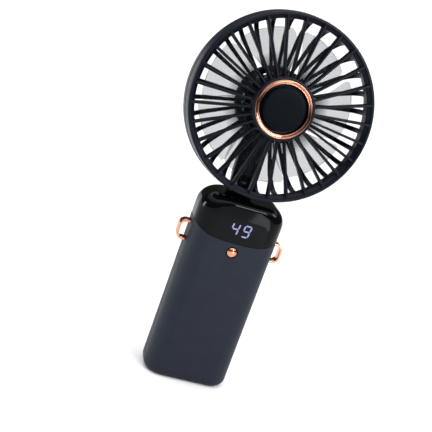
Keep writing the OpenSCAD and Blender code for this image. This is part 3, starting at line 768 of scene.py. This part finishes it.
# hub collar, its floor and the vent skirt behind it
parts.append(revolve(fillet([(0, -1.5), (16.2, -1.5), (16.2, 1.9), (14.95, 1.9), (14.95, -0.05), (0, -0.05)], [0, 0.2, 0.5, 0.25, 0.1, 0], 4), 128))
parts.append(revolve(fillet([(15.2, -2.7), (16.4, -2.7), (16.4, -1.2), (15.2, -1.2)], 0.12, 2), 128))
parts.append(revolve(fillet([(15.2, -8.4), (16.4, -8.4), (16.4, -6.3), (15.2, -6.3)], 0.2, 2), 128))
for i in range(24):
    turn = Matrix.Rotation(math.radians(5.6 + 15 * i), 4, "Z")
    half = Matrix.Rotation(math.radians(5.6 + 7.5 + 15 * i), 4, "Z")
    post = extrude_poly(fillet([(15.25, -1.15), (16.38, -1.15), (16.38, 1.15), (15.25, 1.15)], 0.1, 2), -6.6, -2.4)
    parts.append(moved(post, half))
    lug = extrude_poly(fillet([(16.0, -1.15), (18.5, -1.15), (18.5, 1.15), (16.0, 1.15)], 0.25, 3), -8.4, -6.8, 0.2, 2)
    parts.append(moved(lug, turn))
front_g = obj_from("front_guard", *join_parts(parts), matrix=HEAD, smooth_deg=38)
place(front_g, "head", ["front_grille"])

# rose-gold ring: a bead on each edge and a shallow groove between them
ring_prof = [(12.2, 0.0), (14.8, 0.0), (14.8, 1.2)] + arc(14.46, 2.02, 0.34, 0, 150, 9) + [(14.12, 2.09), (14.06, 2.05), (13.40, 2.01), (13.34, 2.06)] + arc(13.0, 2.02, 0.34, 30, 180, 9) + [(12.62, 1.95), (12.36, 1.6), (12.2, 1.1)]
ring = obj_from("hub_trim_ring", *revolve(ring_prof, 160), matrix=HEAD, smooth_deg=40)
# the ring takes the darker copper copy, which paints shade into the metal colour
place(ring, "head", ["hub_ring"], ["copper_ring"])

# hub cap: shallow dish with a soft edge
cap_prof = [(0, 0.0), (11.0, 0.0), (11.1, 0.2), (11.1, 2.6)] + arc(10.2, 2.6, 0.9, 8, 90, 8) + [(9.4, 3.51), (7.0, 3.50), (4.0, 3.47), (0, 3.45)]
hubc = obj_from("hub_cap_disc", *revolve(cap_prof, 128, close=False), matrix=HEAD, smooth_deg=40)
place(hubc, "head", ["hub_cap"])

# rear basket
BR0, BZ0 = 34.0, -13.0
BA, BB = RIM_R + 0.4 - BR0, DEPTH + BZ0
T = 2.1


def basket_path(n=18):
    """middle line of the basket wall with its outward normal, from the back plate to the band"""
    pts = []
    for r in (18.2, 22, 26, 30):
        pts.append(((r, BACK + T / 2), (0.0, -1.0)))
    for i in range(n + 1):
        q = pi / 2 * i / n
        a, b = BA - T / 2, BB - T / 2
        nx, nz = math.sin(q) / a, -math.cos(q) / b
        l = math.hypot(nx, nz)
        pts.append(((BR0 + a * math.sin(q), BZ0 - b * math.cos(q)), (nx / l, nz / l)))
    pts.append(((RIM_R + 0.4 - T / 2, BZ0 + 0.6), (1.0, 0.0)))
    return pts


path = basket_path()
rib_rings = []
for (r, z), (nx, nz) in path:
    w = 0.75 + 0.6 * (r - 17) / 33
    sec = fillet([(-w, -T / 2), (w, -T / 2), (w, T / 2), (-w, T / 2)], 0.4, 3)
    rib_rings.append([(r + nx * v, u, z + nz * v) for u, v in sec])
rib = loft(rib_rings)
parts = [moved(rib, Matrix.Rotation(2 * pi * i / REAR_RIBS, 4, "Z")) for i in range(REAR_RIBS)]
# band behind the rim, cut outside with fine leaning teeth
n = 1500
zb0, zb1 = BZ0 - 0.4, -7.75
outer = teeth(lambda z: RIM_R + 0.6, n, 300, 0.13, 0.30, zb0 + 0.3, zb1 - 0.3, rows=8)
rows = [ring_rows(RIM_R - 1.6, zb0, n), ring_rows(RIM_R + 0.3, zb0, n)] + outer + [ring_rows(RIM_R + 0.3, zb1, n), ring_rows(RIM_R - 1.6, zb1, n)]
parts.append(loft(rows, caps=False, closed=True))
# back plate, vent spokes and motor seat
parts.append(revolve(fillet([(0, BACK), (13.3, BACK), (13.3, BACK + 1.8), (0, BACK + 1.8)], [0, 0.2, 0.2, 0], 2), 128))
parts.append(revolve(fillet([(15.7, BACK), (19.5, BACK), (19.2, BACK + 3.8), (17.8, BACK + 3.8), (17.8, BACK + 1.8), (15.7, BACK + 1.8)], [0.2, 0.3, 0.2, 0.2, 0.1, 0.2], 2), 128))
for i in range(24):
    sp = extrude_poly([(13.0, -1.05), (16.0, -1.25), (16.0, 1.25), (13.0, 1.05)], BACK + 0.05, BACK + 1.75, 0.15, 2)
    parts.append(moved(sp, Matrix.Rotation(math.radians(7.5 + 15 * i), 4, "Z")))
parts.append(revolve([(0, BACK + 1.7), (6.6, BACK + 1.7), (6.6, BACK + 2.98), (0, BACK + 2.98)], 64))
rear_g = obj_from("rear_guard", *join_parts(parts), matrix=HEAD, smooth_deg=38)
place(rear_g, "head", ["rear_grille"])

# neck: arm with its hinge barrel, and the cover behind it
W2 = NECK_W / 2
side = [(8, BACK), (8, BACK - 3.4), (-44, BACK - 3.4), (HG_Y + 2.2, HG_Z - 4.4), (HG_Y, HG_Z - 3.0), (HG_Y, HG_Z + 3.0), (HG_Y + 2.2, HG_Z + 4.4), (-46, BACK)]
arm = extrude_poly(fillet(side, [0, 0, 6, 0.6, 0, 0, 0.6, 4], 5), -W2, W2, 0.7, 4)
# side outline is (up, out) pushed across the width
place_side = Matrix(((0, 0, 1, 0), (1, 0, 0, 0), (0, 1, 0, 0), (0, 0, 0, 1)))
barrel = revolve(fillet([(1.55, -W2), (5.0, -W2), (5.0, W2), (1.55, W2)], [0.1, 0.5, 0.5, 0.1], 4), 72)
barrel = moved(barrel, Matrix.Translation((0, HG_Y, HG_Z)) @ Matrix.Rotation(pi / 2, 4, "Y"))
boss = revolve(fillet([(0, BACK), (11.5, BACK), (11.5, BACK - 3.4), (0, BACK - 3.4)], [0, 0.1, 0.3, 0], 3), 96)
arm_o = obj_from("neck_band", *join_parts([moved(arm, place_side), barrel, boss]), matrix=HEAD, smooth_deg=40)
place(arm_o, "head", ["neck_arm"])


def keyhole(r, w, y0, n=48, inset=0.0):
    """outline of a round boss running into a straight strip that ends at y0"""
    r, w, y0 = r - inset, w - inset, y0 + inset
    a0 = math.degrees(math.asin(w / r))
    pts = [(r * math.cos(math.radians(-90 + a0 + (360 - 2 * a0) * i / n)), r * math.sin(math.radians(-90 + a0 + (360 - 2 * a0) * i / n))) for i in range(n + 1)]
    c = 2.2
    tail = [(-w, y0 + c)] + [(-w + c - c * math.cos(q * pi / 12), y0 + c - c * math.sin(q * pi / 12)) for q in range(1, 7)]
    tail += [(w - c + c * math.sin(q * pi / 12), y0 + c - c * math.cos(q * pi / 12)) for q in range(0, 7)]
    return pts + tail


rings = []
for ins, z in ((0.0, BACK - 3.5), (0.0, BACK - 4.4), (0.12, BACK - 4.75), (0.4, BACK - 5.02), (0.8, BACK - 5.18), (1.6, BACK - 5.2)):
    rings.append([(x, y, z) for x, y in keyhole(12.4, W2, -44, inset=ins)])
cover = obj_from("neck_back_cover", *loft(rings), matrix=HEAD, smooth_deg=50)
place(cover, "head", ["neck_cover"])


# ---------------------------------------------------------------- impeller
def blade(n=11, m=14):
    rings = []
    for i in range(m + 1):
        t = i / m
        r = 15.2 + (BLADE_R - 15.2) * t
        ch = 22.5 + 2.6 * math.sin(math.radians(180 * t * 0.8))
        tip = 1 - max(0.0, (t - 0.9) / 0.1) ** 2.4 * 0.09
        up, dn = [], []
        for k in range(n):
            u = 2 * k / (n - 1) - 1
            a = math.radians(ch * u * tip + 13 * t)
            zc = -15.9 + (5.4 - 1.6 * t) * u + 1.2 * (1 - u * u)
            th = (0.30 + 0.5 * (1 - u * u)) * (1 - 0.4 * t)
            up.append((r * math.cos(a), r * math.sin(a), zc + th / 2))
            dn.append((r * math.cos(a), r * math.sin(a), zc - th / 2))
        rings.append(up + dn[::-1])
    return loft(rings)


bl = blade()
parts = [moved(bl, Matrix.Rotation(2 * pi * i / BLADES, 4, "Z")) for i in range(BLADES)]
parts.append(revolve(fillet([(0, -9.6), (15.6, -9.6), (15.6, -24.0), (14.4, -24.0), (14.4, -11.0), (0, -11.0)], [0, 1.2, 0.2, 0.2, 0.6, 0], 4), 96))
imp = obj_from("fan_blades", *join_parts(parts), matrix=HEAD, smooth_deg=45)
reach = imp.data.attributes.new("reach", "FLOAT", "POINT")
back = HEAD.inverted()
for v in imp.data.vertices:
    q = back @ (v.co / MM)
    reach.data[v.index].value = math.hypot(q.x, q.y)
place(imp, "rotor", ["impeller"])


# ---------------------------------------------------------------- stage, light and camera
floor_me = bpy.data.meshes.new("floor")
S = 60.0
floor_me.from_pydata([(-S, -3.0, 0), (S, -3.0, 0), (S, S, 0), (-S, S, 0)], [], [(0, 1, 2, 3)])
floor = bpy.data.objects.new("floor", floor_me)
bpy.context.scene.collection.objects.link(floor)
m, nt, b, N, L = material("pale_floor")
setp(b, base=(0.66, 0.66, 0.665), rough=0.9, spec=0.1)
floor.data.materials.append(m)

world = bpy.data.worlds.new("studio")
bpy.context.scene.world = world
world.use_nodes = True
wn, wl = world.node_tree.nodes, world.node_tree.links
wc = wn.new("ShaderNodeTexCoord")
ws = wn.new("ShaderNodeSeparateXYZ")
wl.new(wc.outputs["Generated"], ws.inputs[0])
# dim all round, bright overhead
over = maprange(world.node_tree, ws.outputs["Z"], 0.42, 0.78, 0.09, 2.9)
wn["Background"].inputs["Color"].default_value = (0.97, 0.985, 1.0, 1)
wl.new(over.outputs[0], wn["Background"].inputs["Strength"])


def area(name, loc, target, size, size_y, power, color=(1, 1, 1)):
    l = bpy.data.lights.new(name, "AREA")
    l.shape = "RECTANGLE"
    l.size, l.size_y, l.energy, l.color = size, size_y, power, color
    o = bpy.data.objects.new(name, l)
    bpy.context.scene.collection.objects.link(o)
    o.location = loc
    o.visible_camera = False
    o.rotation_euler = (Vector(target) - Vector(loc)).to_track_quat("-Z", "Y").to_euler()
    return o


area("left_side", (-0.75, 0.10, 0.14), (0, 0, 0.10), 0.20, 0.24, 2.8)
area("right_high", (0.84, -0.14, 0.66), (0, 0, 0.12), 0.30, 0.22, 2.0)
area("front_high", (0.134, -0.305, 0.256), (0.012, -0.012, 0.10), 0.12, 0.085, 0.62)
area("front_low", (0.145, -0.320, 0.040), (0.012, -0.012, 0.09), 0.10, 0.07, 0.11)

# camera as in the photograph: 79.6 mm lens on a 36 mm frame, rolled to the left
cam_data = bpy.data.cameras.new("camera")
cam_data.sensor_width = 36
cam_data.lens = 954.82 * 36 / 432
cam_data.clip_start, cam_data.clip_end = 0.01, 500
cam = bpy.data.objects.new("camera", cam_data)
bpy.context.scene.collection.objects.link(cam)
pos = Vector((-130.18, -467.67, 238.02)) * MM
fwd = Vector((0.2358861, 0.9277338, -0.28925378)).normalized()
up = Vector((-0.26020858, 0.34708343, 0.90101309))
right = fwd.cross(up).normalized()
up = right.cross(fwd).normalized()
cam.matrix_world = Matrix(((right.x, up.x, -fwd.x, pos.x), (right.y, up.y, -fwd.y, pos.y), (right.z, up.z, -fwd.z, pos.z), (0, 0, 0, 1)))
bpy.context.scene.camera = cam
bpy.context.scene.view_settings.view_transform = "Standard"
